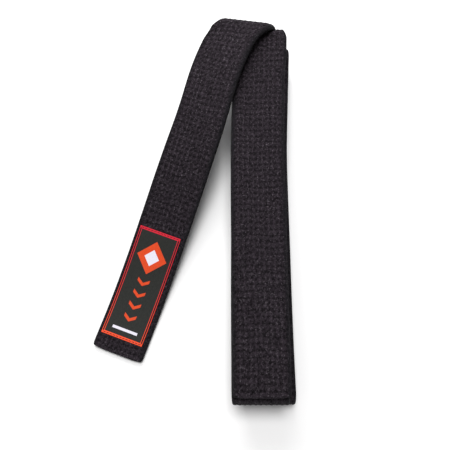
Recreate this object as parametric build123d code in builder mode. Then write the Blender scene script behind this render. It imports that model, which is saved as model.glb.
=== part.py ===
from build123d import *
from math import atan, ceil, cos, degrees, exp, pi, radians, sin, sqrt
import os

# A quilted cotton martial arts belt. The belt is laid double and folded into a flat stack, so both
# ends come out on top: the plain end lies on the stack, and the label end loops over the far
# folds, turns aside and comes down to the table beside the stack.
# Frame: millimetres, +Z up, +Y along the stack towards the far folds, +X to the stack's right.
# The origin is on the table, under the middle of the whole footprint.

# Strap section
strap_width = 40.0
strap_thickness = 4.5
cloth = 0.5  # cover cloth
border = 2.7  # full-thickness edge on each side of the sewn width
recess = 0.2  # how far the stitching pulls the cloth in, on each face
ply_count = 4
ply_gap = 0.03
row_count = 10
row_pitch = 3.67
thread_width = 0.6
thread_gap = 0.02  # clearance under a thread run
core_clearance = 0.1  # round the plies' edges
hem_places = (2.2, 6.8)  # rows across the strap, from each end
row_stop = 7.6  # the lengthwise rows stop this far from each end

# Stack: layer 2 is the plain end on top, layer 10 lies on the table
top_layer = 2
lowest_layer = 10
layer_gap = 0.5
lower_shift = 4.5  # layers 7 to 10 lie this far to the right of layers 2 to 5
near_fold = -144.4  # outside of the near folds
far_fold = 137.0  # outside of the lower far folds
lowest_far_fold = 136.0
plain_far_fold = 140.6  # outside of the plain strap's far fold, inside the label loop
plain_end = -139.2
plain_hinge = 60.0

# Label loop and tail, as seen from above; an angle is a lean to the left of the stack's direction
loop_start = 95.0  # where the loop's own cover takes over from layer 4
loop_radius = 8.5
loop_middle = (-6.9, 138.3)  # on the loop's axis
loop_tilt = 7.5  # of the loop's axis
loop_slant = (0.27, 0.65)  # sideways per millimetre round the loop, at its foot and at its top
tail_lean = 20.0
swing_reach = 11.3  # the strap swings from the loop's slant to tail_lean over a few of these
sway = 4.0  # the tail's shallow bow, as the most that its lean differs
sway_span = (24.0, 98.0)  # in plan lengths from the loop's top, like all lengths on the tail
tail_hinge_place = 36.8
tail_end = 264.8
drape_span = (28.0, 246.5)  # the fall to the table
tail_rest_gap = 0.2
roll_most = 12.0  # the left edge hangs lower where the strap crosses the stack's edge
roll_span = (-22.0, 11.0, 58.0, 140.0)  # roll starts, is greatest, starts to ease, and has gone
turn_step = 6.2
station_step = 13.0

# Label
label_length = 86.0
label_width = 33.0
label_offset = -0.7  # towards the strap's left edge
label_end_gap = 10.5
label_thickness = 0.5
weave_height = 0.2  # woven figures stand this far above the label's ground
weave_gap = 0.02
bar_width = 2.2
line_width = 1.4
seam_inset = 0.7
lozenge_reach = 13.0
lozenge_width = 12.0
lozenge_centre = 21.0  # from the label's top edge
lozenge_core = 0.5  # the centre's share of the lozenge
lozenge_gap = 0.02
chevron_first = 41.0
chevron_step = 9.5
chevron_count = 4
chevron_width = 9.5
chevron_rise = 3.2
chevron_band = 2.6
dash_centre = 79.0
dash_size = (20.0, 2.0)

layer_pitch = strap_thickness + layer_gap
half_width = strap_width / 2
half_thickness = strap_thickness / 2
sewn_width = strap_width - 2 * border
row_middles = [(i - (row_count - 1) / 2) * row_pitch for i in range(row_count)]
cavity = half_thickness - recess - cloth
ply_pitch = (2 * cavity - ply_gap) / ply_count
loop_height = 60.0  # above everything on the tail
chevron_half = chevron_width / 2
chevron_points = [
    (0, 0),
    (chevron_half, chevron_rise),
    (chevron_half, chevron_rise - chevron_band),
    (0, -chevron_band),
    (-chevron_half, chevron_rise - chevron_band),
    (-chevron_half, chevron_rise),
]


def layer_height(layer):
    """Height of a layer's middle plane."""
    return half_thickness + (lowest_layer - layer) * layer_pitch


def ease(t):
    """From 0 to 1, with a soft start and finish."""
    t = min(max(t, 0), 1)
    return t * t * (3 - 2 * t)


def fall(s):
    """Height of the tail's middle plane, and its slope, at plan length s from the loop's top."""
    start, end = drape_span
    top = layer_height(4) + 2 * loop_radius
    drop = top - half_thickness - tail_rest_gap
    t = min(max((s - start) / (end - start), 0), 1)
    return top - drop * ease(t), -drop * 6 * t * (1 - t) / (end - start)


def roll(s):
    """Roll of the strap in degrees at length s from the loop's top; it is negative on the loop."""
    start, most, easing, gone = roll_span
    return roll_most * ease((s - start) / (most - start)) * ease((gone - s) / (gone - easing))


def tail_heading(s):
    """The tail's lean at plan length s from the loop's top."""
    first = loop_tilt + degrees(atan(loop_slant[1]))
    t = min(max((s - sway_span[0]) / (sway_span[1] - sway_span[0]), 0), 1)
    return tail_lean + (first - tail_lean) * exp(-s / swing_reach) - sway * sin(pi * t) ** 2


def section(place, cut, normal, travel):
    """A section plane through the strap along a cut line, and how much longer the cut is than square."""
    plane = Plane(place, x_dir=cut, z_dir=cut.cross(normal))
    return plane, 1 / sqrt(1 - cut.dot(travel) ** 2)


def rolled_section(place, cut, travel, angle):
    """A section whose cut line is first rolled about the strap's direction, by an angle in degrees."""
    up = travel.cross(cut).normalized()
    turned = cut * cos(radians(angle)) + up * sin(radians(angle))
    return section(place, turned, travel.cross(turned).normalized(), travel)


def level_cut(lean):
    """Level direction across a strap that comes back towards the near folds at a lean."""
    return Vector(cos(radians(lean)), -sin(radians(lean)), 0)


def loop_section(turn):
    """Section along the loop's axis, at an angle from -90, at its foot, to 90, at its top."""
    along = level_cut(loop_tilt)
    out = Vector(-along.Y, along.X, 0)
    a = radians(turn)
    slant = sum(loop_slant) / 2
    change = (loop_slant[1] - loop_slant[0]) / pi
    middle = Vector(*loop_middle, layer_height(4) + loop_radius)
    normal = out * cos(a) + Vector(0, 0, 1) * sin(a)
    travel = Vector(0, 0, 1) * cos(a) - out * sin(a) - along * (slant + change * a)
    place = middle + normal * loop_radius - along * loop_radius * (slant * a + change * a * a / 2)
    return rolled_section(place, along, travel.normalized(), roll(loop_radius * (a - pi / 2)))


def entry_section(share):
    """Section between layer 4 and the loop's foot, on a level curve tangent to both."""
    foot = loop_section(-90)[0].origin
    slope = -sin(atan(loop_slant[0]) - radians(loop_tilt))
    length = foot.Y - loop_start
    x = foot.X * ease(share) + length * slope * (share**3 - share**2)
    heading = foot.X / length * 6 * share * (1 - share) + slope * (3 * share**2 - 2 * share)
    travel = Vector(heading, 1, 0).normalized()
    place = Vector(x, loop_start + length * share, foot.Z)
    return section(place, level_cut(loop_tilt * share), Vector(0, 0, -1), travel)


def tail_section(s):
    """Section across the strap past the loop's top, at plan length s from it."""
    place = loop_section(90)[0].origin
    steps = ceil(s)
    for i in range(steps):
        lean = radians(tail_heading(s * (i + 0.5) / steps))
        place += Vector(-sin(lean), -cos(lean), 0) * (s / steps)
    height, slope = fall(s)
    lean = radians(tail_heading(s))
    travel = Vector(-sin(lean), -cos(lean), slope).normalized()
    level = level_cut(loop_tilt + (tail_lean - loop_tilt) * min(s / tail_hinge_place, 1))
    return rolled_section(Vector(place.X, place.Y, height), level, travel, roll(s))


def spread(start, end, step):
    """Evenly spaced values from start to end, no further apart than step."""
    count = ceil((end - start) / step)
    return [start + (end - start) * i / count for i in range(count + 1)]


label_end = tail_end - label_end_gap
label_start = label_end - label_length
loop_sections = [entry_section(share) for share in spread(0, 1, 0.34)]
loop_sections += [loop_section(turn) for turn in spread(-90, 90, 18)[1:]]
loop_sections += [tail_section(s) for s in spread(0, tail_hinge_place, turn_step)[1:]]
label_sections = [tail_section(s) for s in spread(label_start, label_end, station_step)]
tail_sections = [tail_section(s) for s in spread(tail_hinge_place, label_start, station_step)[:-1]]
tail_sections += label_sections
closed_end = tail_section(tail_end - cloth)
open_end = tail_section(tail_end)

# The footprint's extremes, which place the origin under its middle
left_most = (open_end[0].origin - open_end[0].x_dir * half_width).X
right_most = lower_shift + half_width
far_most = max(
    (plane.origin + plane.y_dir * half_thickness - plane.x_dir * half_width * stretch).Y
    for plane, stretch in loop_sections
)
origin = Vector((left_most + right_most) / 2, (near_fold + far_most) / 2, 0)

# Routes through the stack, as (y, layer): a change of layer is a fold
outer_reach = 1.5 * layer_pitch + half_thickness
inner_reach = 0.5 * layer_pitch + half_thickness
near_turn = near_fold + outer_reach
far_turn = far_fold - outer_reach
plain_turn = plain_far_fold - inner_reach
lowest_turn = lowest_far_fold - inner_reach
upper_route = [(plain_hinge, 2), (plain_turn, 2), (plain_turn, 3), (near_turn, 3), (near_turn, 6)]
lower_route = [
    (far_turn, 6),
    (far_turn, 7),
    (near_turn, 7),
    (near_turn, 10),
    (lowest_turn, 10),
    (lowest_turn, 9),
    (near_turn, 9),
    (near_turn, 8),
    (far_turn, 8),
    (far_turn, 5),
]
middle_route = [(near_turn, 5), (near_turn, 4), (loop_start, 4)]
plain_route = [(plain_end, 2), (plain_hinge, 2)]


def moved_points(route, heading, w):
    """A route's points, moved w to the left of travel; heading is 1 towards the far folds."""
    points = []
    for i, (y, layer) in enumerate(route):
        if i and route[i - 1][1] != layer:
            heading = -heading
        points.append((y, layer_height(layer) + heading * w))
    return points


def stack_band(route, heading, shift, u, w):
    """The part of a route between two places u across the strap and two places w through it."""
    with BuildPart() as band:
        with BuildSketch(Plane.YZ.offset(shift + u[0])):
            with BuildLine():
                sides = [moved_points(route, heading, place) for place in w]
                for points in sides:
                    turn = heading
                    for (y, z), (y_next, z_next) in zip(points, points[1:]):
                        if y == y_next:
                            edge = (y + turn * abs(z_next - z) / 2, (z + z_next) / 2)
                            ThreePointArc((y, z), edge, (y_next, z_next))
                            turn = -turn
                        else:
                            Line((y, z), (y_next, z_next))
                Line(sides[0][0], sides[1][0])
                Line(sides[0][-1], sides[1][-1])
            make_face()
        extrude(amount=u[1] - u[0])
    return band.part


def crossing_band(layer, u, w):
    """A strap of the stack that slants from the upper layers to the shifted lower ones."""
    run = Vector(lower_shift, far_turn - near_turn, 0)
    # both straps are drawn from the near folds, so the one travelling the other way is turned over
    side = 1 if layer == 6 else -1
    with BuildPart() as band:
        with BuildSketch(Plane.XZ.offset(-near_turn)):
            middle = ((u[0] + u[1]) / 2, layer_height(layer) + side * (w[0] + w[1]) / 2)
            with Locations(middle):
                Rectangle(u[1] - u[0], w[1] - w[0])
        extrude(amount=run.length, dir=run)
    return band.part


def whole_stack_band(u, w):
    """The strap's whole way through the stack, from the plain end's hinge to the label loop."""
    pieces = [stack_band(upper_route, 1, 0, u, w), crossing_band(6, u, w)]
    pieces += [stack_band(lower_route, 1, lower_shift, u, w), crossing_band(5, u, w)]
    pieces.append(stack_band(middle_route, -1, 0, u, w))
    with BuildPart() as band:
        for piece in pieces:
            add(piece)
    return band.part


def loft_band(sections, u, w):
    """The strap along sections, between two places u across it and two places w through it."""
    with BuildPart() as band:
        for plane, stretch in sections:
            with BuildSketch(plane):
                with Locations(((u[0] + u[1]) / 2 * stretch, (w[0] + w[1]) / 2)):
                    Rectangle((u[1] - u[0]) * stretch, w[1] - w[0])
        loft(ruled=True)
    return band.part


def loft_cover(sections):
    """The strap's outer form along sections, thinner between its borders on both faces."""
    with BuildPart() as form:
        for plane, stretch in sections:
            with BuildSketch(plane):
                Rectangle(strap_width * stretch, strap_thickness)
                with Locations((0, half_thickness), (0, -half_thickness)):
                    Rectangle(sewn_width * stretch, 2 * recess, mode=Mode.SUBTRACT)
        loft(ruled=True)
    return form.part


def write(piece, name):
    """Moves a finished piece to the shared origin, names it and writes its file."""
    placed = piece.moved(Location(-origin))
    placed.label = name
    export_step(placed, f"parts/{name}.step")
    print(name, round(placed.volume, 1))


def label_figure(sheet, outline):
    """Cuts a woven figure out of a thin sheet. Its outline is drawn in plan, from the label's top."""
    top = label_sections[0][0].origin
    across = level_cut(tail_lean)
    middle = Vector(top.X, top.Y, 0) + across * label_offset
    with BuildPart() as figure:
        add(sheet)
        with BuildSketch(Plane(middle, x_dir=across, z_dir=(0, 0, 1))):
            add(outline)
        extrude(amount=loop_height, mode=Mode.INTERSECT)
    return figure.part


def lozenge(scale):
    """Corners of the label's lozenge."""
    x, y = lozenge_width * scale, lozenge_reach * scale
    return (x, 0), (0, y), (-x, 0), (0, -y)


full_u = (-half_width, half_width)
full_w = (-half_thickness, half_thickness)
sewn_u = (-sewn_width / 2, sewn_width / 2)
cavity_u = (cloth - half_width, half_width - cloth)
cavity_w = (-cavity, cavity)
sewn_face = half_thickness - recess
recesses = [(sewn_face, half_thickness), (-half_thickness, -sewn_face)]
thread_faces = [
    (sewn_face + thread_gap, half_thickness),
    (-half_thickness, -sewn_face - thread_gap),
]
os.makedirs("parts", exist_ok=True)

# Cover cloth: a sleeve, thinner where it is sewn, cut at the two living hinges
stack_form = whole_stack_band(full_u, full_w)
stack_hollow = whole_stack_band(cavity_u, cavity_w)
stack_recesses = [whole_stack_band(sewn_u, w) for w in recesses]
with BuildPart() as stack_cover:
    add(stack_form)
    add(stack_hollow, mode=Mode.SUBTRACT)
    for cut in stack_recesses:
        add(cut, mode=Mode.SUBTRACT)
write(stack_cover.part, "stack_cover")

loop_form = loft_cover(loop_sections)
loop_hollow = loft_band(loop_sections, cavity_u, cavity_w)
with BuildPart() as label_loop_cover:
    add(loop_form)
    add(loop_hollow, mode=Mode.SUBTRACT)
write(label_loop_cover.part, "label_loop_cover")

tail_form = loft_cover(tail_sections + [open_end])
tail_hollow = loft_band(tail_sections + [closed_end], cavity_u, cavity_w)
with BuildPart() as label_tail_cover:
    add(tail_form)
    add(tail_hollow, mode=Mode.SUBTRACT)
write(label_tail_cover.part, "label_tail_cover")

plain_form = stack_band(plain_route, 1, 0, full_u, full_w)
plain_hollow = stack_band([(plain_end + cloth, 2), (plain_hinge, 2)], 1, 0, cavity_u, cavity_w)
plain_recesses = [stack_band(plain_route, 1, 0, sewn_u, w) for w in recesses]
with BuildPart() as plain_tail_cover:
    add(plain_form)
    add(plain_hollow, mode=Mode.SUBTRACT)
    for cut in plain_recesses:
        add(cut, mode=Mode.SUBTRACT)
write(plain_tail_cover.part, "plain_tail_cover")

# Core: plies of wadding cloth inside the cover. The label side counts them from the other face,
# because the loop turns the strap over.
core_end = tail_section(tail_end - cloth - core_clearance)
core_reach = half_width - cloth - core_clearance
plain_core_route = [(plain_end + cloth + core_clearance, 2), (plain_hinge, 2)]
for number in range(ply_count):
    low = ply_gap - cavity + number * ply_pitch
    ply_u, ply_w = (-core_reach, core_reach), (low, low + ply_pitch - ply_gap)
    turned_w = (-ply_w[1], -ply_w[0])
    stack_ply = whole_stack_band(ply_u, ply_w)
    loop_ply = loft_band(loop_sections, ply_u, turned_w)
    with BuildPart() as core_ply:
        add(stack_ply)
        add(loop_ply)
    write(core_ply.part, f"stack_core_ply_{number + 1}")
    tail_ply = loft_band(tail_sections + [core_end], ply_u, turned_w)
    write(tail_ply, f"label_tail_core_ply_{number + 1}")
    plain_ply = stack_band(plain_core_route, 1, 0, ply_u, ply_w)
    write(plain_ply, f"plain_tail_core_ply_{number + 1}")

# Lengthwise stitch rows: a needle thread on one face and a bobbin thread on the other
row_end = tail_section(tail_end - row_stop)
plain_row_route = [(plain_end + row_stop, 2), (plain_hinge, 2)]
for number, middle in enumerate(row_middles):
    row_u = (middle - thread_width / 2, middle + thread_width / 2)
    stack_runs = [whole_stack_band(row_u, w) for w in thread_faces]
    stack_runs += [loft_band(loop_sections, row_u, w) for w in thread_faces]
    tail_runs = [loft_band(tail_sections + [row_end], row_u, w) for w in thread_faces]
    plain_runs = [stack_band(plain_row_route, 1, 0, row_u, w) for w in thread_faces]
    for place, runs in (("stack", stack_runs), ("label_tail", tail_runs), ("plain_tail", plain_runs)):
        with BuildPart() as row:
            for run in runs:
                add(run)
        write(row.part, f"{place}_stitch_row_{number + 1:02}")

# End hems: rows across the strap that close each end
tail_hems = []
plain_hems = []
for place in hem_places:
    ends = [tail_section(tail_end - place + side * thread_width / 2) for side in (-1, 1)]
    route = [(plain_end + place + side * thread_width / 2, 2) for side in (-1, 1)]
    tail_hems += [loft_band(ends, sewn_u, w) for w in thread_faces]
    plain_hems += [stack_band(route, 1, 0, sewn_u, w) for w in thread_faces]
for name, runs in (("label_tail_hem_stitches", tail_hems), ("plain_tail_hem_stitches", plain_hems)):
    with BuildPart() as hem:
        for run in runs:
            add(run)
    write(hem.part, name)

# Label: a woven ground, its woven figures as thin layers on it, and the seam that sews it down
half_label = label_width / 2
label_u = (label_offset - half_label, label_offset + half_label)
ground_low = half_thickness + thread_gap
weave_low = ground_low + label_thickness + weave_gap
seam_low = weave_low + weave_height + weave_gap
ground = loft_band(label_sections, label_u, (ground_low, ground_low + label_thickness))
weave_sheet = loft_band(label_sections, label_u, (weave_low, weave_low + weave_height))
seam_sheet = loft_band(label_sections, label_u, (seam_low, seam_low + weave_height))
write(ground, "label_ground")

label_middle = (0, -label_length / 2)
with BuildSketch() as frame_outline:
    with Locations(label_middle):
        Rectangle(label_width, label_length)
        inside = (label_width - 2 * line_width, label_length - 2 * bar_width)
        Rectangle(*inside, mode=Mode.SUBTRACT)
write(label_figure(weave_sheet, frame_outline.sketch), "label_woven_frame")

with BuildSketch() as seam_outline:
    with Locations(label_middle):
        Rectangle(label_width - 2 * seam_inset, label_length - 2 * seam_inset)
        inside = (
            label_width - 2 * (seam_inset + thread_width),
            label_length - 2 * (seam_inset + thread_width),
        )
        Rectangle(*inside, mode=Mode.SUBTRACT)
write(label_figure(seam_sheet, seam_outline.sketch), "label_seam_thread")

with BuildSketch() as core_outline:
    with Locations((0, -lozenge_centre)):
        Polygon(*lozenge(lozenge_core), align=None)
with BuildSketch() as lozenge_outline:
    with Locations((0, -lozenge_centre)):
        Polygon(*lozenge(1), align=None)
        Polygon(*lozenge(lozenge_core + lozenge_gap), align=None, mode=Mode.SUBTRACT)
write(label_figure(weave_sheet, lozenge_outline.sketch), "label_lozenge")
write(label_figure(weave_sheet, core_outline.sketch), "label_lozenge_centre")

with BuildSketch() as chevron_outline:
    for number in range(chevron_count):
        with Locations((0, -chevron_first - number * chevron_step)):
            Polygon(*chevron_points, align=None)
write(label_figure(weave_sheet, chevron_outline.sketch), "label_chevrons")

with BuildSketch() as dash_outline:
    with Locations((0, -dash_centre)):
        Rectangle(*dash_size)
write(label_figure(weave_sheet, dash_outline.sketch), "label_dash")

# Living hinges: each axis lies across the strap on its upper face
hinge_plane = tail_section(tail_hinge_place)[0]
tail_hinge = hinge_plane.origin + hinge_plane.y_dir * half_thickness - origin
flat_hinge = Vector(0, plain_hinge, layer_height(top_layer) + half_thickness) - origin
print("label tail hinge", tail_hinge, "axis", -hinge_plane.x_dir)
print("plain tail hinge", flat_hinge, "axis", Vector(-1, 0, 0))
print("stack's underside border", Vector(lower_shift - half_width + border / 2, 0, 0) - origin)
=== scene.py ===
from math import atan, ceil, cos, degrees, exp, pi, radians, sin

import bmesh
import bpy
import numpy as np
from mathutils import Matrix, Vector


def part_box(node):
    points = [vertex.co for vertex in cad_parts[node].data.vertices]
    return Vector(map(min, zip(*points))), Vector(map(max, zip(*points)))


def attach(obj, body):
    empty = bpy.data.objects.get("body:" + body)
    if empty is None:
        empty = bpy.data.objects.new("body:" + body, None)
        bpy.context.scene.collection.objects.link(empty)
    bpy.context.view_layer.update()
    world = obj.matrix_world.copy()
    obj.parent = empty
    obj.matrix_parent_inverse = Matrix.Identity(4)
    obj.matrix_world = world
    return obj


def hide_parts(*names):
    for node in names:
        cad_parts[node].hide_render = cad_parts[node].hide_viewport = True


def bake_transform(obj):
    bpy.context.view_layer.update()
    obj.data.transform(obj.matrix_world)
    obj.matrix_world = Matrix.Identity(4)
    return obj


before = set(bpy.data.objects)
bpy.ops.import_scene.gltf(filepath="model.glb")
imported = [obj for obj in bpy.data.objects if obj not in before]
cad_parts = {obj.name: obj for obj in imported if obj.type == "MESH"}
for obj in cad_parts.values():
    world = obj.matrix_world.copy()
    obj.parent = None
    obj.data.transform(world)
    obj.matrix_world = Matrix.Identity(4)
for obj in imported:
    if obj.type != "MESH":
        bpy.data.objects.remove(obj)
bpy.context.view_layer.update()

# The belt is one long strap. Lengths here are millimetres in the stack's own frame, which has x = 0
# at the middle of the plain end and y = 0 60 mm nearer than its hinge; made() turns them into the
# frame's metres. The strap is worked out once, as a line of stations from its plain end to its label
# end, and every piece of cloth, thread or wadding is laid along that line.
MM = 0.001
rng = np.random.default_rng(4)


def box_of(node):
    """A CAD node's lowest and highest corner, in millimetres."""
    low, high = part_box(node)
    return np.array(low) / MM, np.array(high) / MM


plain_low, plain_high = box_of("plain_tail_cover")
stack_low, stack_high = box_of("stack_cover")
PLAIN_HINGE = 60.0
ORIGIN = np.array(((plain_low[0] + plain_high[0]) / 2, plain_high[1] - PLAIN_HINGE, 0))

# Strap
WIDTH = plain_high[0] - plain_low[0]
THICKNESS = plain_high[2] - plain_low[2]
PLUMP = 0.17  # how far the cloth bulges between the stitch rows, over the nominal face
ROWS = 10
ROW_PITCH = 3.67
ROW_MIDDLES = [(i - (ROWS - 1) / 2) * ROW_PITCH for i in range(ROWS)]
STITCH = 4.5
GROOVE = 0.34  # depth along a stitch row
PIT = 0.62  # further depth at each needle hole
PUCKER = 0.11  # further depth across the strap, between neighbouring rows' holes
EDGE = 2.1  # width of the rounded edge
ROW_STOP = 3.6  # the lengthwise rows stop this far from each end of the belt
HEMS = (2.2, 6.8)  # rows across the strap, from each end

# Stack
TOP_LAYER, LOWEST_LAYER = 2, 10
LAYER_PITCH = plain_low[2] / (LOWEST_LAYER - TOP_LAYER)
LOWER_SHIFT = stack_high[0] - plain_high[0]
LOWER_ASIDE = 0.7  # further to the right than in the CAD
OUTER_REACH = 1.5 * LAYER_PITCH + THICKNESS / 2
INNER_REACH = 0.5 * LAYER_PITCH + THICKNESS / 2
PLAIN_END = plain_low[1] - ORIGIN[1]
NEAR_TURN = stack_low[1] - ORIGIN[1] + OUTER_REACH
LOWER_NEAR_TURN = NEAR_TURN - 1.2  # the lowest fold stands out a little
FAR_FOLD, PLAIN_FAR_FOLD, LOWEST_FAR_FOLD = 137.0, 140.6, 136.0  # their outsides
FAR_TURN = FAR_FOLD - OUTER_REACH
PLAIN_TURN = PLAIN_FAR_FOLD - INNER_REACH
LOWEST_TURN = LOWEST_FAR_FOLD - INNER_REACH

# Label loop and tail
LOOP_START = 95.0
LOOP_RADIUS = 8.5
LOOP_MIDDLE = (-6.9, 138.3)
LOOP_TILT = 7.5
LOOP_SLANT = (0.27, 0.65)
TAIL_LEAN = 20.0
SWING_REACH = 11.3
SWAY = 4.0
SWAY_SPAN = (24.0, 98.0)
TAIL_HINGE = 36.8
TAIL_END = 266.1
DRAPE = (28.0, 246.5)
TAIL_REST_GAP = 0.2
ROLL_MOST = 12.0
ROLL_SPAN = (-9.0, 12.0, 58.0, 140.0)

# Label, from its top edge, in plan
LABEL_LENGTH = 86.0
LABEL_WIDTH = 33.0
LABEL_OFFSET = -0.7
LABEL_END_GAP = 11.8


# ---------------------------------------------------------------- the strap's line


def layer_height(layer):
    return THICKNESS / 2 + (LOWEST_LAYER - layer) * LAYER_PITCH


def ease(t):
    t = np.clip(t, 0, 1)
    return t * t * (3 - 2 * t)


# How far each layer bows to the right of its straight place, at its far and near ends
BOWS = {2: (3.1, 0.6), 3: (3.5, -0.3), 4: (3.5, 0.2), 5: (3.0, 1.8), 6: (3.0, 1.2)}
LOWER_BOW = (2.9, 2.0)
FAR_BOW_START, FAR_BOW_LENGTH = 25, 110
NEAR_BOW_START, NEAR_BOW_LENGTH = -55, 90
WAVER = 0.28  # sideways, and different in each layer
RIPPLE = 0.3  # up and down, and greatest on top


def stack_place(layer, y):
    """Middle of a layer of the stack at y."""
    far, near = BOWS.get(layer, LOWER_BOW)
    bow = far * np.clip((y - FAR_BOW_START) / FAR_BOW_LENGTH, 0, 1) ** 1.7
    bow += near * np.clip((NEAR_BOW_START - y) / NEAR_BOW_LENGTH, 0, 1) ** 1.6
    bow += WAVER * sin(y / 31 + 2.3 * layer)
    across = min(max((y - NEAR_TURN) / (FAR_TURN - NEAR_TURN), 0), 1)
    shift = {5: across, 6: across}.get(layer, 1 if layer > 6 else 0)
    bow += LOWER_ASIDE * shift
    lift = RIPPLE * sin(y / 43 + 0.7) * (LOWEST_LAYER - layer) / (LOWEST_LAYER - TOP_LAYER)
    return np.array((LOWER_SHIFT * shift + bow, y, layer_height(layer) + lift))


# Stations: place, across and normal. The normal looks up where the strap heads for the far folds.
line = []
marks = {}  # names for stations, to be turned into lengths along the strap


def mark(name):
    marks[name] = len(line) - 1


def add_station(place, across, normal):
    line.append((np.array(place, float), np.array(across, float), np.array(normal, float)))


def straight(layer, y_from, y_to):
    heading = 1 if y_to > y_from else -1
    for y in np.linspace(y_from, y_to, ceil(abs(y_to - y_from) / 5) + 1)[1:-1]:
        add_station(stack_place(layer, y), (1, 0, 0), (0, 0, heading))


def fold(y, layer, next_layer):
    """Half a turn from one layer to another, outwards past y."""
    heading = 1 if y > 0 else -1
    start, end = stack_place(layer, y), stack_place(next_layer, y)
    up = 1 if end[2] > start[2] else -1
    radius = abs(end[2] - start[2]) / 2
    for angle in np.linspace(0, pi, 33):
        share = (1 - cos(angle)) / 2
        place = start + (end - start) * share + np.array((0, heading * radius * sin(angle), 0))
        add_station(place, (1, 0, 0), (0, -up * sin(angle), heading * cos(angle)))


def level_cut(lean):
    return np.array((cos(radians(lean)), -sin(radians(lean)), 0))


def unit(v):
    return v / np.linalg.norm(v)


def add_rolled(place, cut, travel, angle):
    """A station whose cut is rolled about the strap's direction. The loop turns the strap over."""
    up = unit(np.cross(travel, cut))
    cut = cut * cos(radians(angle)) + up * sin(radians(angle))
    add_station(place, cut / np.sqrt(1 - cut.dot(travel) ** 2), -unit(np.cross(travel, cut)))


def loop_place(turn):
    """Place and travel on the loop, from -90 degrees at its foot to 90 at its top."""
    along = level_cut(LOOP_TILT)
    out = np.array((-along[1], along[0], 0))
    up = np.array((0, 0, 1))
    a = radians(turn)
    slant = sum(LOOP_SLANT) / 2
    change = (LOOP_SLANT[1] - LOOP_SLANT[0]) / pi
    middle = np.array((*LOOP_MIDDLE, layer_height(4) + LOOP_RADIUS))
    normal = out * cos(a) + up * sin(a)
    travel = unit(up * cos(a) - out * sin(a) - along * (slant + change * a))
    return middle + LOOP_RADIUS * (normal - along * (slant * a + change * a * a / 2)), travel


def entry(share):
    """Between layer 4 and the loop's foot, on a level curve; the layer's bow dies away along it."""
    foot = loop_place(-90)[0]
    slope = -sin(atan(LOOP_SLANT[0]) - radians(LOOP_TILT))
    length = foot[1] - LOOP_START
    x = foot[0] * ease(share) + length * slope * (share**3 - share**2)
    heading = foot[0] / length * 6 * share * (1 - share) + slope * (3 * share**2 - 2 * share)
    place = np.array((x, LOOP_START + length * share, foot[2]))
    place += (stack_place(4, LOOP_START) - (0, LOOP_START, layer_height(4))) * (1 - ease(share))
    add_rolled(place, level_cut(LOOP_TILT * share), unit(np.array((heading, 1, 0))), 0)


def wrap(turn):
    place, travel = loop_place(turn)
    add_rolled(place, level_cut(LOOP_TILT), travel, roll(LOOP_RADIUS * radians(turn - 90)))


def fall(s):
    """Height of the tail's middle, and its slope, at plan length s from the loop's top."""
    top = layer_height(4) + 2 * LOOP_RADIUS
    drop = top - THICKNESS / 2 - TAIL_REST_GAP
    t = min(max((s - DRAPE[0]) / (DRAPE[1] - DRAPE[0]), 0), 1)
    return top - drop * ease(t), -drop * 6 * t * (1 - t) / (DRAPE[1] - DRAPE[0])


def roll(s):
    """Roll in degrees at length s from the loop's top; it is negative on the loop."""
    start, most, easing, gone = ROLL_SPAN
    return ROLL_MOST * ease((s - start) / (most - start)) * ease((gone - s) / (gone - easing))


def tail_heading(s):
    first = LOOP_TILT + degrees(atan(LOOP_SLANT[1]))
    t = min(max((s - SWAY_SPAN[0]) / (SWAY_SPAN[1] - SWAY_SPAN[0]), 0), 1)
    return TAIL_LEAN + (first - TAIL_LEAN) * exp(-s / SWING_REACH) - SWAY * sin(pi * t) ** 2


def tail(s):
    """Past the loop's top, at plan length s from it."""
    place = loop_place(90)[0]
    steps = ceil(s)
    for i in range(steps):
        lean = radians(tail_heading(s * (i + 0.5) / steps))
        place = place + np.array((-sin(lean), -cos(lean), 0)) * (s / steps)
    height, slope = fall(s)
    lean = radians(tail_heading(s))
    level = level_cut(LOOP_TILT + (TAIL_LEAN - LOOP_TILT) * min(s / TAIL_HINGE, 1))
    travel = unit(np.array((-sin(lean), -cos(lean), slope)))
    add_rolled((place[0], place[1], height), level, travel, roll(s))


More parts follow.
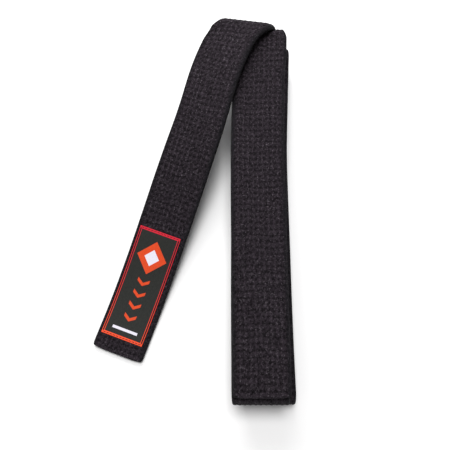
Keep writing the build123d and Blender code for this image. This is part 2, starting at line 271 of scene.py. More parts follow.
def lay_out_belt():
    """Fills the line with stations, from the plain end to the label end."""
    add_station(stack_place(TOP_LAYER, PLAIN_END), (1, 0, 0), (0, 0, 1))
    straight(2, PLAIN_END, PLAIN_TURN)
    fold(PLAIN_TURN, 2, 3)
    mark("upper_start")
    straight(3, PLAIN_TURN, NEAR_TURN)
    fold(NEAR_TURN, 3, 6)
    mark("layer_6")
    straight(6, NEAR_TURN, FAR_TURN)
    mark("fold_6")
    fold(FAR_TURN, 6, 7)
    mark("layer_7")
    straight(7, FAR_TURN, LOWER_NEAR_TURN)
    mark("fold_7")
    fold(LOWER_NEAR_TURN, 7, 10)
    straight(10, LOWER_NEAR_TURN, LOWEST_TURN)
    fold(LOWEST_TURN, 10, 9)
    mark("layer_9")
    straight(9, LOWEST_TURN, NEAR_TURN)
    mark("fold_9")
    fold(NEAR_TURN, 9, 8)
    mark("layer_8")
    straight(8, NEAR_TURN, FAR_TURN)
    mark("fold_8")
    fold(FAR_TURN, 8, 5)
    mark("layer_5")
    straight(5, FAR_TURN, NEAR_TURN)
    mark("fold_5")
    fold(NEAR_TURN, 5, 4)
    mark("layer_4")
    straight(4, NEAR_TURN, LOOP_START)
    for share in np.linspace(0, 1, 9)[:-1]:
        entry(share)
    mark("loop_foot")
    for turn in np.linspace(-90, 90, 61):
        wrap(turn)
    mark("loop_top")
    label_end = TAIL_END - LABEL_END_GAP
    label_start = label_end - LABEL_LENGTH
    for s in np.linspace(0, TAIL_HINGE, 21)[1:]:
        tail(s)
    mark("tail_hinge")
    for s in np.linspace(TAIL_HINGE, label_start, 60)[1:]:
        tail(s)
    mark("label_start")
    for s in np.linspace(label_start, label_end, 40)[1:]:
        tail(s)
    mark("label_end")
    for s in np.linspace(label_end, TAIL_END, 6)[1:]:
        tail(s)


lay_out_belt()
LINE = np.array([np.concatenate(station) for station in line])
steps = np.linalg.norm(np.diff(LINE[:, :3], axis=0), axis=1)
ALONG = np.concatenate(([0], np.cumsum(steps)))
BELT = ALONG[-1]
at = {name: ALONG[index] for name, index in marks.items()}
STITCHES = round(BELT / STITCH)
STITCH = BELT / STITCHES


SWELL = 2.75  # of the plain strap's far fold, outwards at its free corner
BULGE = 1.5  # of that corner's side, to the right
CORNER_NIP = 2.3  # how far its tip is drawn back again
CURL = 1.4  # how far the strap's edges curl in as it rounds the loop
PINCH = 2.6  # how far its left edge is drawn aside there
CURL_MIDDLE = at["loop_top"] - 6
CURL_REACH = 22  # on each side of CURL_MIDDLE
SWELL_END = at["upper_start"] + 50


def on_strap(s, u, w):
    """Points s along the strap, u across it and w out of its first face."""
    s, u, w = np.broadcast_arrays(s, u, w)
    nine = np.stack([np.interp(s, ALONG, LINE[:, k]) for k in range(9)], axis=-1)
    normal = nine[..., 6:9] / np.linalg.norm(nine[..., 6:9], axis=-1, keepdims=True)
    round_loop = 1 - ease(np.abs(s - CURL_MIDDLE) / CURL_REACH)
    w = w + CURL * round_loop * np.clip((np.abs(u) - 14) / 6, 0, 1) ** 2
    u = u + PINCH * round_loop * np.clip((-u - 6) / 14, 0, 1) ** 2
    points = nine[..., :3] + nine[..., 3:6] * u[..., None] + normal * w[..., None]
    corner = ease((u - 6) / 10) * ease((SWELL_END - s) / 30)
    points[..., 1] += SWELL * corner * ease((points[..., 1] - 95) / 45)
    bulge = BULGE * ease((points[..., 1] - 98) / 26) - CORNER_NIP * ease((points[..., 1] - 134) / 9)
    points[..., 0] += corner * bulge
    return points


def end_share(s, reach):
    """0 at both ends of the belt, 1 further in than reach."""
    return ease(np.minimum(s, BELT - s) / reach)


def drift(s, u):
    """How far along the strap each row's stitches have slipped against its neighbours'."""
    slip = 0.32 * np.sin(0.9 * u + 1.3) + 0.5 * np.sin(s / 37 + 0.22 * u)
    return slip * end_share(s, 14)


# ---------------------------------------------------------------- quilted cloth

EDGE_POINTS = 9


def strap_ring():
    """Across and through places round the strap's section, from the tip of its left edge, and which
    face each is on."""
    inner = WIDTH / 2 - EDGE
    outer_row = ROW_MIDDLES[-1]
    rim = outer_row + 0.7
    sewn = np.linspace(-outer_row, outer_row, 4 * (ROWS - 1) + 1)
    face = np.concatenate(([-rim], sewn, [rim]))
    angles = np.linspace(pi / 2, -pi / 2, EDGE_POINTS)
    power = 2 / 2.7
    edge_u = inner + EDGE * np.abs(np.cos(angles)) ** power
    edge_w = THICKNESS / 2 * np.sign(np.sin(angles)) * np.abs(np.sin(angles)) ** power
    on_face = np.ones(len(face))
    on_edge = np.zeros(EDGE_POINTS)
    u = np.concatenate((face, edge_u, face[::-1], -edge_u))
    w = np.concatenate((on_face * THICKNESS / 2, edge_w, -on_face * THICKNESS / 2, -edge_w))
    side = np.concatenate((on_face, on_edge, -on_face, on_edge))
    tip = EDGE_POINTS // 2 + 1
    return np.roll(u, tip), np.roll(w, tip), np.roll(side, tip)


RING_U, RING_W, RING_SIDE = strap_ring()
PIT_DEPTHS = rng.uniform(0.45, 1.25, (STITCHES + 1, ROWS))


def row_distance(u):
    """Distance from the nearest stitch row, and which row that is."""
    row = np.clip(np.round(u / ROW_PITCH + (ROWS - 1) / 2), 0, ROWS - 1).astype(int)
    return np.abs(u - np.array(ROW_MIDDLES)[row]), row


def hem_distance(s):
    from_end = np.minimum(s, BELT - s)
    return np.min([np.abs(from_end - hem) for hem in HEMS], axis=0)


def rows_share(s):
    """0 where the lengthwise rows have stopped, at the ends of the belt."""
    return ease((np.minimum(s, BELT - s) - ROW_STOP + 1) / 2)


def face_depth(s, u, pits):
    """How far the stitching pulls a face in, and how deep in a needle hole a point is, from 0 to 1,
    which is the mask of the painted shade there.
    """
    near, row = row_distance(u)
    groove = np.exp(-((near / 0.8) ** 2)) * rows_share(s)
    count = s / STITCH
    hole = np.round(count).astype(int)
    off = (count - hole) * STITCH
    pit = np.exp(-((near / 0.7) ** 2) - (off / 0.75) ** 2) * pits * rows_share(s)
    depth = PIT_DEPTHS[hole, row]
    pucker = np.exp(-((off / 0.8) ** 2)) * (np.abs(u) < ROW_MIDDLES[-1] + 0.8) * pits * rows_share(s)
    pucker = pucker * (0.35 + 0.65 * depth)
    hem = np.exp(-((hem_distance(s) / 0.8) ** 2)) * (np.abs(u) < ROW_MIDDLES[-1] + 0.8)
    bulge = PLUMP * (1 - np.exp(-((near / 1.6) ** 2)))
    pulled_in = GROOVE * np.maximum(groove, hem) + PIT * pit * depth + PUCKER * pucker - bulge
    return pulled_in, np.maximum(pit * np.minimum(depth + 0.4, 1), 0.03 * pucker)


def made(name, points, faces, material, uvs=None, flat=0):
    """A mesh object from points in the stack's frame. uvs has a row for each face corner, in
    millimetres of cloth, and the last faces, flat of them, are flat shaded."""
    mesh = bpy.data.meshes.new(name)
    mesh.from_pydata((points + ORIGIN) * MM, [], faces)
    smooth = np.arange(len(faces)) < len(faces) - flat
    mesh.polygons.foreach_set("use_smooth", smooth)
    if uvs is not None:
        mesh.uv_layers.new(name="cloth").data.foreach_set("uv", uvs.astype(np.float32).ravel())
    mesh.materials.append(material)
    shape = bmesh.new()
    shape.from_mesh(mesh)
    bmesh.ops.recalc_face_normals(shape, faces=shape.faces)
    shape.to_mesh(mesh)
    shape.free()
    mesh.update()
    piece = bpy.data.objects.new(name, mesh)
    bpy.context.scene.collection.objects.link(piece)
    return piece


def tube_faces(rows, columns):
    """Quads of a tube: rows of points, closed round their columns."""
    i, j = np.meshgrid(np.arange(rows - 1), np.arange(columns), indexing="ij")
    after = (j + 1) % columns
    corners = [i * columns + j, (i + 1) * columns + j, (i + 1) * columns + after, i * columns + after]
    return np.stack(corners, axis=-1).reshape(-1, 4)


def tube_uvs(s, around):
    """Where a tube's corners are on its cloth; around has one place more than the tube has columns."""
    i, j = np.meshgrid(np.arange(len(s) - 1), np.arange(len(around) - 1), indexing="ij")
    corners = [(i, j), (i + 1, j), (i + 1, j + 1), (i, j + 1)]
    uvs = [np.stack((around[column], s[row]), axis=-1) for row, column in corners]
    return np.stack(uvs, axis=2).reshape(-1, 2)


def end_faces(first, columns):
    """Faces that close a strap's end, between points that face each other."""
    half = columns // 2
    faces = [(first, first + 1, first + columns - 1)]
    for j in range(1, half - 1):
        faces.append((first + j, first + j + 1, first + columns - j - 1, first + columns - j))
    faces.append((first + half - 1, first + half, first + half + 1))
    return faces


def lengths(start, end):
    """Places along the strap, a quarter of a stitch apart, or a whole stitch where nothing shows."""
    hidden = [("layer_6", "fold_6"), ("layer_7", "fold_7"), ("layer_9", "fold_9")]
    hidden += [("layer_8", "fold_8"), ("layer_5", "fold_5"), ("layer_4", "loop_foot")]
    first, last = ceil(start / STITCH * 4 - 1e-6), int(end / STITCH * 4 + 1e-6)
    places, fine = [], []
    for step in range(first, last + 1):
        s = step * STITCH / 4
        buried = any(at[a] + 8 < s < at[b] - 8 for a, b in hidden)
        if not buried or step % 4 == 0 or step in (first, last):
            places.append(s)
            fine.append(0.0 if buried else 1.0)
    return np.array(places), np.array(fine)


END_ROUND = 1.7  # radius, where the strap's ends are rounded off
END_STEPS = (0, 0.12, 0.45, 0.9)
BLUNT = 0.9  # how far the ends' corners lie back from their middle


def strap_piece(name, start, end, material):
    """A closed length of quilted strap. At the belt's own ends it is rounded off and hemmed."""
    s, fine = lengths(start, end)
    if start == 0:
        s = np.concatenate((END_STEPS, s[1:]))
        fine = np.concatenate((np.zeros(len(END_STEPS)), fine[1:]))
    if end == BELT:
        s = np.concatenate((s[:-1], BELT - np.array(END_STEPS[::-1])))
        fine = np.concatenate((fine[:-1], np.zeros(len(END_STEPS))))
    s, u = s[:, None], RING_U[None, :]
    depth, hole = face_depth(s, u, fine[:, None])
    from_end = np.minimum(s, BELT - s)
    taper = np.sqrt(1 - (1 - np.clip(from_end / END_ROUND, 0.06, 1)) ** 2)
    w = (RING_W - RING_SIDE * depth) * taper
    # The ends are a little rounded in plan.
    corner = 0.9 * (1 - taper) + 0.4 * np.clip(1 - from_end / 5, 0, 1) ** 2
    corner = corner * (u / (WIDTH / 2)) ** 7
    blunt = BLUNT * (u / (WIDTH / 2)) ** 4 * np.clip(1 - from_end / 12, 0, 1)
    points = on_strap(s + drift(s, u) + blunt * np.where(s < BELT / 2, 1, -1), u - corner, w)
    rows, columns = points.shape[:2]
    closed_u, closed_w = np.append(RING_U, RING_U[0]), np.append(RING_W, RING_W[0])
    around = np.concatenate(([0], np.cumsum(np.hypot(np.diff(closed_u), np.diff(closed_w)))))
    ends = end_faces(0, columns) + end_faces((rows - 1) * columns, columns)
    end_corners = np.concatenate([np.array(face) % columns for face in ends])
    end_uvs = np.stack((RING_U[end_corners], RING_W[end_corners]), axis=-1)
    uvs = np.concatenate((tube_uvs(s[:, 0], around), end_uvs))
    faces = tube_faces(rows, columns).tolist() + ends
    piece = made(name, points.reshape(-1, 3), faces, material, uvs, flat=len(ends))
    on_edge = RING_SIDE == 0
    # Masks for painted shade: in the needle holes and the puckers between them, and along the rounded
    # side edges.
    shadings = {
        "needle_hole_shade": np.where(on_edge, 0, hole),
        "painted_edge_shade": np.tile(on_edge, (rows, 1)),
    }
    for title, values in shadings.items():
        attribute = piece.data.attributes.new(title, "FLOAT", "POINT")
        attribute.data.foreach_set("value", values.astype(np.float32).ravel())
    return piece


# ---------------------------------------------------------------- stitching

THREAD = 0.23  # radius
THREAD_SIDES = 5
# Through one stitch, from hole to hole: how far along, how deep in its hole and how far aside
STITCH_STEPS = np.array(
    ((0, 1, 0.0), (0.11, 0.35, 0.05), (0.3, 0, 0.1), (0.7, 0, -0.1), (0.89, 0.35, -0.05))
)
THREAD_DIP = 1.0
THREAD_RISE = THREAD * 0.55  # a thread's middle over the cloth it is sunk into
HEM_STITCH = 3.2
HEM_START, HEM_END = ROW_MIDDLES[0] - 0.6, ROW_MIDDLES[-1] + 0.6


def thread_tube(place, across, out):
    """Points of a thread round its middle line, a row of points at each place."""
    angles = np.arange(THREAD_SIDES) / THREAD_SIDES * 2 * pi
    offset = across[:, None, :] * np.cos(angles)[None, :, None]
    offset = offset + out[:, None, :] * np.sin(angles)[None, :, None]
    return place[:, None, :] + THREAD * offset


def thread_piece(name, runs, material):
    """One thread piece from several runs, each a row of points with its across and out directions."""
    points, faces, uvs = [], [], []
    count = 0
    for place, across, out in runs:
        tube = thread_tube(place, across, out)
        rows = len(tube)
        points.append(tube.reshape(-1, 3))
        faces += (tube_faces(rows, THREAD_SIDES) + count).tolist()
        steps = np.linalg.norm(np.diff(place, axis=0), axis=1)
        along = np.concatenate(([0], np.cumsum(steps)))
        uvs.append(tube_uvs(along, np.linspace(0, 2 * pi * THREAD, THREAD_SIDES + 1)))
        count += rows * THREAD_SIDES
    ends = []
    for first in np.cumsum([0] + [len(p) for p in points[:-1]]):
        last = first + len(points[len(ends) // 2]) - THREAD_SIDES
        ends += [list(range(first, first + THREAD_SIDES)), list(range(last, last + THREAD_SIDES))]
    uvs.append(np.zeros((len(ends) * THREAD_SIDES, 2)))
    faces += [[int(i) for i in end] for end in ends]
    return made(name, np.concatenate(points), faces, material, np.concatenate(uvs), flat=len(ends))


def surface(s, u, side):
    """Height of a face over the strap's middle, clear of the needle holes."""
    depth, _ = face_depth(s, u, 0)
    return side * (THICKNESS / 2 - depth)


def row_run(row, side, start, end):
    """A row's thread along the strap on one face, dipping into each needle hole."""
    first = ceil(max(start, ROW_STOP) / STITCH)
    last = int(min(end, BELT - ROW_STOP) / STITCH + 1e-6)
    count = (np.arange(first, last)[:, None] + STITCH_STEPS[None, :, 0]).ravel()
    dip = np.tile(STITCH_STEPS[:, 1], last - first) * THREAD_DIP
    aside = np.tile(STITCH_STEPS[:, 2], last - first) * side
    s = count * STITCH
    u = ROW_MIDDLES[row] + aside
    w = surface(s, ROW_MIDDLES[row], side) + side * (THREAD_RISE - dip)
    return run_frames(s + drift(s, u), u, w, side)


def hem_run(hem, side, from_end):
    """A hem's thread across the strap; from_end says which end of the belt."""
    stitches = round((HEM_END - HEM_START) / HEM_STITCH)
    length = (HEM_END - HEM_START) / stitches
    count = (np.arange(stitches)[:, None] + STITCH_STEPS[None, :, 0]).ravel()
    dip = np.tile(STITCH_STEPS[:, 1], stitches) * THREAD_DIP
    u = HEM_START + count * length
    s = np.full(len(u), BELT - hem if from_end else hem) + np.tile(STITCH_STEPS[:, 2], stitches)
    w = side * (THICKNESS / 2 - GROOVE) + side * (THREAD_RISE - dip)
    return run_frames(s, u, w, side)


def run_frames(s, u, w, side):
    """A thread's places, and the two directions square to it."""
    place = on_strap(s, u, w)
    out = on_strap(s, u, w + side) - place
    travel = np.gradient(place, axis=0)
    across = np.cross(travel, out)
    across /= np.linalg.norm(across, axis=1, keepdims=True)
    out = np.cross(across, travel)
    out /= np.linalg.norm(out, axis=1, keepdims=True)
    return place, across, out


# ---------------------------------------------------------------- wadding

PLIES = 4
PLY_REACH = 0.8  # of the outer plies, from the strap's middle
PLY_COLUMNS = 9
PLY_HALF_WIDTH = 19.0
PLY_GAP = 0.04


def ply_piece(name, number, start, end, material):
    s = lengths(max(start, 1), min(end, BELT - 1))[0]
    pitch = (2 * PLY_REACH + PLY_GAP) / PLIES
    low = number * pitch - PLY_REACH
    high = low + pitch - PLY_GAP
    across = np.linspace(-PLY_HALF_WIDTH, PLY_HALF_WIDTH, PLY_COLUMNS)
    u = np.concatenate((across, across[::-1]))
    w = np.repeat((low, high), PLY_COLUMNS)
    points = on_strap(s[:, None], u[None, :], w[None, :])
    columns = len(u)
    last = (len(s) - 1) * columns
    ends = [list(range(columns)), list(range(last, last + columns))]
    faces = tube_faces(len(s), columns).tolist() + ends
    around = np.append(u, u[0]) + np.append(w, w[0])
    uvs = np.concatenate((tube_uvs(s, around), np.zeros((2 * columns, 2))))
    return made(name, points.reshape(-1, 3), faces, material, uvs, flat=len(faces))


# ---------------------------------------------------------------- label

LABEL_TOP = 0.42  # of the label's ground over the strap's nominal face
FIGURE_TOP = 0.54
SEAM_INSET = 0.95
SEAM_STITCH = 2.7
CELL = 3.0  # figures are cut into cells of this size, so that they follow the strap


def on_label(u, s, h):
    """Points on the label: u across from its middle, s from its top edge, h over the strap's face."""
    start, end = at["label_start"], at["label_end"]
    along = start + s / LABEL_LENGTH * (end - start)
    return on_strap(along, u + LABEL_OFFSET, -(THICKNESS / 2 + h))


def label_lift(u, s):
    """The ground is drawn down along its seam and rides a little on the rows beneath."""
    edge = np.minimum(LABEL_WIDTH / 2 - np.abs(u), np.minimum(s, LABEL_LENGTH - s))
    seam = 0.13 * np.exp(-(((edge - SEAM_INSET) / 0.7) ** 2))
    return 0.03 * np.cos(2 * pi * u / ROW_PITCH) + 0.05 * np.sin(s / 9 + u / 14) - seam


def label_ground_piece(material):
    across = np.linspace(-LABEL_WIDTH / 2, LABEL_WIDTH / 2, 37)
    down = np.linspace(0, LABEL_LENGTH, 91)
    u, s = np.meshgrid(across, down)
    edge = np.minimum(LABEL_WIDTH / 2 - np.abs(u), np.minimum(s, LABEL_LENGTH - s))
    rounding = 0.18 * (1 - np.clip(edge / 0.9, 0, 1)) ** 2
    top = on_label(u, s, LABEL_TOP + label_lift(u, s) - rounding)
    bottom = on_label(u, s, np.full(u.shape, -0.1))
    points = np.concatenate((top.reshape(-1, 3), bottom.reshape(-1, 3)))
    rows, columns = u.shape
    under = rows * columns
    i, j = np.meshgrid(np.arange(rows - 1), np.arange(columns - 1), indexing="ij")
    corner = (i * columns + j).ravel()
    quads = np.stack((corner, corner + 1, corner + columns + 1, corner + columns), axis=-1)
    rim = list(range(columns)) + [r * columns + columns - 1 for r in range(1, rows)]
    rim += [(rows - 1) * columns + c for c in range(columns - 2, -1, -1)]
    rim += [r * columns for r in range(rows - 2, 0, -1)]
    walls = [(a, b, b + under, a + under) for a, b in zip(rim, rim[1:] + rim[:1])]
    faces = quads.tolist() + (quads + under).tolist() + walls
    flat_uv = np.tile(np.stack((u.ravel(), s.ravel()), axis=-1), (2, 1))
    uvs = flat_uv[np.concatenate([np.array(face) for face in faces])]
    return made("label_cloth", points, faces, material, uvs, flat=len(walls))


def figure_piece(name, outlines, material, low=LABEL_TOP - 0.25, high=FIGURE_TOP):
    """Woven figures that stand a thread's height over the label's ground."""
    shape = bmesh.new()
    for outline in outlines:
        shape.faces.new([shape.verts.new((u, s, 0)) for u, s in outline])
    bmesh.ops.remove_doubles(shape, verts=shape.verts, dist=1e-4)
    cuts = [((0, CELL * k, 0), (0, 1, 0)) for k in range(1, ceil(LABEL_LENGTH / CELL))]
    reach = int(LABEL_WIDTH / 2 / CELL)
    cuts += [((CELL * k, 0, 0), (1, 0, 0)) for k in range(-reach, reach + 1)]
    for place, normal in cuts:
        everything = shape.verts[:] + shape.edges[:] + shape.faces[:]
        bmesh.ops.bisect_plane(shape, geom=everything, plane_co=place, plane_no=normal)
    raised = bmesh.ops.extrude_face_region(shape, geom=shape.faces[:], use_keep_orig=True)
    for item in raised["geom"]:
        if isinstance(item, bmesh.types.BMVert):
            item.co.z = 1
    shape.verts.index_update()
    flat = np.array([vertex.co for vertex in shape.verts])
    faces = [[vertex.index for vertex in face.verts] for face in shape.faces]
    shape.free()
    u, s, z = flat.T
    points = on_label(u, s, low + (high - low) * z + label_lift(u, s) * z)
    uvs = flat[np.concatenate([np.array(face) for face in faces])][:, :2]
    return made(name, points, faces, material, uvs, flat=len(faces))


def rectangle(left, right, top, bottom):
    return [(left, top), (right, top), (right, bottom), (left, bottom)]


def frame_outlines():
    """Bars across the label's ends, and on each side two lines with the seam between them."""
    edge, line_width, seam_gap, bar = LABEL_WIDTH / 2, 0.45, 1.45, 2.1
    return [
        rectangle(-edge, -edge + line_width, bar, LABEL_LENGTH - bar),
        rectangle(-edge + seam_gap, -edge + seam_gap + line_width, bar, LABEL_LENGTH - bar),
        rectangle(edge - line_width, edge, bar, LABEL_LENGTH - bar),
        rectangle(edge - seam_gap - line_width, edge - seam_gap, bar, LABEL_LENGTH - bar),
        rectangle(-edge, edge, 0, bar),
        rectangle(-edge, edge, LABEL_LENGTH - bar, LABEL_LENGTH),
    ]


LOZENGE_MIDDLE = 21.0
LOZENGE_REACH = (12.0, 13.0)  # across the label and along it
LOZENGE_INNER = 0.5  # size of the white middle, as a share
CHEVRONS = 4
CHEVRON_FIRST, CHEVRON_STEP = 41.0, 9.5
DASH = (-10, 10, 78, 80)  # left, right, top and bottom


def lozenge_corners(scale):
    x, y = (reach * scale for reach in LOZENGE_REACH)
    return [(x, LOZENGE_MIDDLE), (0, LOZENGE_MIDDLE + y), (-x, LOZENGE_MIDDLE), (0, LOZENGE_MIDDLE - y)]


def lozenge_outlines():
    """A lozenge with a lozenge cut out of it, as four sides."""
    outside, inside = lozenge_corners(1), lozenge_corners(LOZENGE_INNER)
    sides = [(i, (i + 1) % 4) for i in range(4)]
    return [[outside[i], outside[j], inside[j], inside[i]] for i, j in sides]


def chevron_outline(top):
    """A chevron that points down the label."""
    half, rise, band = 4.75, 3.2, 2.6
    return [(0, top), (half, top - rise), (half, top - rise + band), (0, top + band),
            (-half, top - rise + band), (-half, top - rise)]


def seam_runs():
    """Separate stitches round the label, just inside its edge."""
    half_u, length = LABEL_WIDTH / 2 - SEAM_INSET, LABEL_LENGTH - SEAM_INSET
    corners = [(-half_u, SEAM_INSET), (half_u, SEAM_INSET), (half_u, length), (-half_u, length)]
    runs = []
    for start, end in zip(corners, corners[1:] + corners[:1]):
        start, end = np.array(start), np.array(end)
        side_length = np.linalg.norm(end - start)
        count = round(side_length / SEAM_STITCH)
        for k in range(count):
            share = (k + np.array((0.08, 0.16, 0.32, 0.64, 0.8, 0.88))) / count
            u, s = (start + share[:, None] * (end - start)).T
            height = LABEL_TOP + np.array((-0.25, 0.06, 0.14, 0.14, 0.06, -0.25))
            place = on_label(u, s, height)
            out = on_label(u, s, height + 1) - place
            travel = np.gradient(place, axis=0)
            across = np.cross(travel, out)
            across /= np.linalg.norm(across, axis=1, keepdims=True)
            out = np.cross(across, travel)
            out /= np.linalg.norm(out, axis=1, keepdims=True)
            runs.append((place, across, out))
    return runs


# ---------------------------------------------------------------- materials


class Shader:
    """A material's node tree, with short ways to add to it."""

    def __init__(self, name):
        self.material = bpy.data.materials.new(name)
        self.material.use_nodes = True
        self.tree = self.material.node_tree
        self.surface = self.tree.nodes["Principled BSDF"]

    def put(self, socket, value):
        if isinstance(value, bpy.types.NodeSocket):
            self.tree.links.new(value, socket)
        else:
            socket.default_value = value

    def set(self, **sockets):
        for name, value in sockets.items():
            self.put(self.surface.inputs[name.replace("_", " ")], value)

    def math(self, operation, *values):
        node = self.tree.nodes.new("ShaderNodeMath")
        node.operation = operation
        for socket, value in zip(node.inputs, values):
            self.put(socket, value)
        return node.outputs[0]

    def times(self, a, b):
        return self.math("MULTIPLY", a, b)

    def plus(self, a, b):
        return self.math("ADD", a, b)

    def contrast(self, value, gain):
        """A value from 0 to 1, spread away from its middle."""
        return self.math("MULTIPLY_ADD", self.math("SUBTRACT", value, 0.5), gain, 0.5)

    def mix(self, share, a, b):
        node = self.tree.nodes.new("ShaderNodeMix")
        node.data_type = "RGBA"
        self.put(node.inputs["Factor"], share)
        self.put(node.inputs["A"], a)
        self.put(node.inputs["B"], b)
        return node.outputs["Result"]

    def noise(self, scale, detail=3.0, vector=None):
        node = self.tree.nodes.new("ShaderNodeTexNoise")
        node.inputs["Scale"].default_value = scale
        node.inputs["Detail"].default_value = detail
        if vector is None:
            vector = self.tree.nodes.new("ShaderNodeTexCoord").outputs["Object"]
        self.put(node.inputs["Vector"], vector)
        return node.outputs["Fac"]

    def cloth(self):
        """Across and along places on the cloth, in millimetres."""
        uv = self.tree.nodes.new("ShaderNodeUVMap")
        uv.uv_map = "cloth"
        split = self.tree.nodes.new("ShaderNodeSeparateXYZ")
        self.put(split.inputs[0], uv.outputs[0])
        return split.outputs[0], split.outputs[1]

    def attribute(self, name):
        node = self.tree.nodes.new("ShaderNodeAttribute")
        node.attribute_name = name
        return node.outputs["Fac"]

    def bump(self, height, distance, strength=1.0):
        node = self.tree.nodes.new("ShaderNodeBump")
        node.inputs["Strength"].default_value = strength
        node.inputs["Distance"].default_value = distance
        self.put(node.inputs["Height"], height)
        return node.outputs[0]


def plain_weave(shader, pitch):
    """Height of a plain weave: warp and weft take turns to be on top."""
    x, y = (shader.times(place, 1 / pitch) for place in shader.cloth())
    warp = shader.math("ABSOLUTE", shader.math("SINE", shader.times(x, pi)))
    weft = shader.math("ABSOLUTE", shader.math("SINE", shader.times(y, pi)))
    squares = shader.plus(shader.math("FLOOR", x), shader.math("FLOOR", y))
    over = shader.math("FLOORED_MODULO", squares, 2.0)
    on_top = shader.times(warp, shader.plus(shader.times(weft, 0.45), 0.55))
    beneath = shader.times(weft, shader.plus(shader.times(warp, 0.45), 0.55))
    under = shader.math("SUBTRACT", 1.0, over)
    return shader.plus(shader.times(over, on_top), shader.times(under, beneath))


def shades(shader, low, high, share):
    return shader.mix(share, (*low, 1), (*high, 1))


def belt_cloth():
    """Black cotton: a plain weave with a grey bloom and pale specks, and painted shade in the needle
    holes and along the strap's rounded edges."""
    shader = Shader("black_cotton")
    weave = plain_weave(shader, 0.62)
    bloom = shader.noise(190, 3)
    grain = shader.contrast(shader.noise(600, 2), 6.0)
    lint = shader.math("POWER", shader.noise(1100, 1), 8.0)
    share = shader.plus(shader.times(weave, 0.3), shader.times(bloom, 0.2))
    share = shader.plus(share, shader.times(grain, 0.38))
    colour = shades(shader, (0.001, 0.0005, 0.001), (0.0362, 0.0275, 0.0360), share)
    colour = shader.mix(shader.times(lint, 9.0), colour, (0.12, 0.105, 0.12, 1))
    # Painted shade: the needle holes and the puckers between them are darkened in the cloth's colour.
    hole = shader.math("POWER", shader.attribute("needle_hole_shade"), 0.5)
    colour = shader.mix(shader.times(hole, 0.96), colour, (0.0015, 0.001, 0.0015, 1))
    # Painted shade: the rounded side edges are darkened in the colour, though the cloth there is the
    # same.
    painted_edge_shade = shader.times(shader.attribute("painted_edge_shade"), 0.6)
    colour = shader.mix(painted_edge_shade, colour, (0.003, 0.0038, 0.0042, 1))
    fibre = shader.plus(weave, shader.times(shader.noise(1500, 2), 0.5))
    shader.set(Base_Color=colour, Roughness=0.9, Normal=shader.bump(fibre, 0.00014, 0.8))
    shader.set(Specular_IOR_Level=0.08, Sheen_Weight=0.035, Sheen_Roughness=0.4)
    shader.surface.inputs["Sheen Tint"].default_value = (0.8, 0.88, 0.88, 1)
    return shader.material


def thread_material(name, low, high, twist=1.6):
    """Sewing thread: its ply runs round it in a slant."""
    shader = Shader(name)
    around, along = shader.cloth()
    slant = shader.plus(shader.times(along, twist), shader.times(around, 1.8))
    ply = shader.math("ABSOLUTE", shader.math("SINE", shader.times(slant, pi)))
    tone = shader.plus(shader.times(ply, 0.7), shader.times(shader.noise(700, 2), 0.4))
    shader.set(Base_Color=shades(shader, low, high, tone), Roughness=0.62)
    shader.set(Normal=shader.bump(ply, 0.00006, 0.8), Specular_IOR_Level=0.12, Sheen_Weight=0.02)
    return shader.material


def wadding():
    shader = Shader("cotton_wadding")
    fuzz = shader.noise(1200, 5)
    weave = plain_weave(shader, 0.9)
    tone = shader.plus(shader.times(fuzz, 0.6), shader.times(weave, 0.4))
    shader.set(Base_Color=shades(shader, (0.42, 0.40, 0.35), (0.70, 0.68, 0.62), tone), Roughness=0.95)
    shader.set(Normal=shader.bump(tone, 0.0002, 0.6), Specular_IOR_Level=0.2)
    return shader.material


def woven_label(name, low, high, foot=None, pitch=0.26, strength=0.6):
    """Fine woven label thread. foot, if given, is the colour it turns to down the label."""
    shader = Shader(name)
    weave = plain_weave(shader, pitch)
    tone = shader.plus(shader.times(weave, 0.65), shader.times(shader.noise(500, 3), 0.45))
    colour = shades(shader, low, high, tone)
    if foot is not None:
        down = shader.times(shader.cloth()[1], 1 / LABEL_LENGTH)
        colour = shader.mix(shader.math("POWER", down, 2.0), colour, (*foot, 1))
    shader.set(Base_Color=colour, Roughness=0.55, Normal=shader.bump(weave, 0.00005, strength))
    shader.set(Specular_IOR_Level=0.2, Sheen_Weight=0.03)
    return shader.material


# ---------------------------------------------------------------- the pieces

cloth = belt_cloth()
belt_thread = thread_material("black_thread", (0.003, 0.002, 0.003), (0.026, 0.0195, 0.0255))
core = wadding()


def hold(piece, part):
    """A piece of the stack rides on the stack; any other piece keeps its place, with its transform
    baked into its points.
    """
    if part == "stack":
        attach(piece, "stack")
        return
    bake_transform(piece)


def whole_stitches(length):
    return round(length / STITCH) * STITCH


plain_cut = whole_stitches(at["upper_start"] + 6)
label_cut = whole_stitches(at["loop_foot"])
lower_cut = whole_stitches((at["layer_7"] + at["fold_7"]) / 2)
straps = {
    "plain_strap": ("plain", 0, plain_cut, ["plain_tail_cover"]),
    "stack_strap_upper": ("stack", plain_cut, lower_cut, ["stack_cover"]),
    "stack_strap_lower": ("stack", lower_cut, label_cut, ["stack_cover"]),
    "label_strap": ("label", label_cut, BELT, ["label_loop_cover", "label_tail_cover"]),
}
for name, (part, start, end, nodes) in straps.items():
    strap = strap_piece(name, start, end, cloth)
    hold(strap, part)
    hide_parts(*nodes)

# Where a row's thread can be seen: its strap, face, start and end
shown_runs = {
    "plain": [(1, 0, plain_cut), (-1, 0, plain_cut)],
    "stack": [
        (-1, plain_cut, at["layer_6"] + 8),
        (-1, at["fold_7"] - 8, at["layer_9"] + 8),
        (-1, at["fold_8"] - 8, at["layer_5"] + 8),
    ],
    "label": [(1, label_cut, BELT), (-1, label_cut, BELT)],
}
cad_part = {"plain": "plain_tail", "stack": "stack", "label": "label_tail"}
for part, runs in shown_runs.items():
    for row in range(ROWS):
        threads = [row_run(row, *run) for run in runs]
        thread = thread_piece(f"{part}_row_thread_{row + 1:02}", threads, belt_thread)
        hold(thread, part)
        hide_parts(f"{cad_part[part]}_stitch_row_{row + 1:02}")

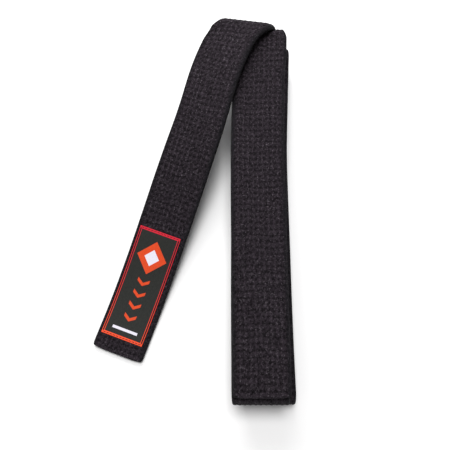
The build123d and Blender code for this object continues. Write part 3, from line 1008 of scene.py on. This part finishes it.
for part, from_end in (("plain", False), ("label", True)):
    threads = [hem_run(hem, side, from_end) for hem in HEMS for side in (1, -1)]
    hem = thread_piece(f"{part}_hem_thread", threads, belt_thread)
    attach(hem, cad_part[part])
    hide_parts(f"{cad_part[part]}_hem_stitches")

core_lengths = {"plain": (0, plain_cut), "stack": (plain_cut, label_cut), "label": (label_cut, BELT)}
for part, (start, end) in core_lengths.items():
    for number in range(PLIES):
        ply = ply_piece(f"{part}_core_{number + 1}", number, start, end, core)
        hold(ply, part)
        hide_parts(f"{cad_part[part]}_core_ply_{number + 1}")

orange = woven_label("orange_weave", (0.50, 0.032, 0.006), (0.78, 0.079, 0.014))
red = woven_label("red_weave", (0.44, 0.006, 0.022), (0.80, 0.021, 0.046), foot=(0.86, 0.075, 0.02))
white = woven_label("white_weave", (0.60, 0.57, 0.65), (0.86, 0.83, 0.92))
ground_cloth = woven_label("label_satin", (0.005, 0.0055, 0.005), (0.023, 0.024, 0.021), strength=0.8)
seam_thread = thread_material("label_seam", (0.004, 0.004, 0.005), (0.02, 0.018, 0.02))

label = label_ground_piece(ground_cloth)
border = figure_piece("label_border", frame_outlines(), red)
diamond = figure_piece("label_diamond", lozenge_outlines(), orange)
middle = figure_piece("label_diamond_middle", [lozenge_corners(LOZENGE_INNER)], white)
chevrons = [chevron_outline(CHEVRON_FIRST + CHEVRON_STEP * k) for k in range(CHEVRONS)]
arrows = figure_piece("label_arrows", chevrons, orange)
stripe = figure_piece("label_stripe", [rectangle(*DASH)], white)
seam = thread_piece("label_seam_stitches", seam_runs(), seam_thread)
label_pieces = [
    (label, "label_ground", "label_ground_weave"),
    (border, "label_woven_frame", "label_red_weave"),
    (diamond, "label_lozenge", "label_orange_weave"),
    (middle, "label_lozenge_centre", "label_white_weave"),
    (arrows, "label_chevrons", "label_orange_weave"),
    (stripe, "label_dash", "label_white_weave"),
    (seam, "label_seam_thread", "label_seam_thread"),
]
for piece, node, slot in label_pieces:
    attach(piece, "label_tail")
    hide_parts(node)

# ---------------------------------------------------------------- stage, light and camera


def stage_material():
    shader = Shader("pale_table")
    tone = shader.noise(3, 2)
    shader.set(Base_Color=shades(shader, (0.93, 0.93, 0.93), (0.96, 0.955, 0.955), tone), Roughness=0.9)
    shader.set(Specular_IOR_Level=0.1)
    return shader.material


def square(half, z):
    return np.array([(-half, -half, z), (half, -half, z), (half, half, z), (-half, half, z)], float)


TABLE_HALF = 3000
TABLE_DROP = 0.05  # so that the table's face isn't in the strap's
floor = made("table", square(TABLE_HALF, -TABLE_DROP), [[0, 1, 2, 3]], stage_material())


BELT_MIDDLE = Vector((-30, 0, 20))


def lamp(kind, name, place, energy):
    """A lamp that shines on the middle of the belt."""
    data = bpy.data.lights.new(name, kind)
    data.energy = energy
    holder = bpy.data.objects.new(name, data)
    place = Vector(place)
    holder.location = (place + Vector(ORIGIN)) * MM
    holder.rotation_euler = (place - BELT_MIDDLE).to_track_quat("Z", "Y").to_euler()
    bpy.context.scene.collection.objects.link(holder)
    return data


lamp("SUN", "ceiling", (-50, 200, 780), 2.2).angle = radians(24)
lamp("AREA", "far_window", (-120, 380, 420), 2.2).size = 0.35

world = bpy.data.worlds.new("studio")
world.use_nodes = True
sky = world.node_tree.nodes["Background"]
sky.inputs["Color"].default_value = (1, 1, 1, 1)
sky.inputs["Strength"].default_value = 0.27
bpy.context.scene.world = world
bpy.context.scene.view_settings.view_transform = "Standard"

camera_data = bpy.data.cameras.new("camera")
camera_data.sensor_width = 36
camera_data.lens = 43.36
camera = bpy.data.objects.new("camera", camera_data)
camera.location = (Vector((-24.5, -114, 424.5)) + Vector(ORIGIN)) * MM
camera.rotation_euler = (radians(14), 0, 0)
bpy.context.scene.collection.objects.link(camera)
bpy.context.scene.camera = camera
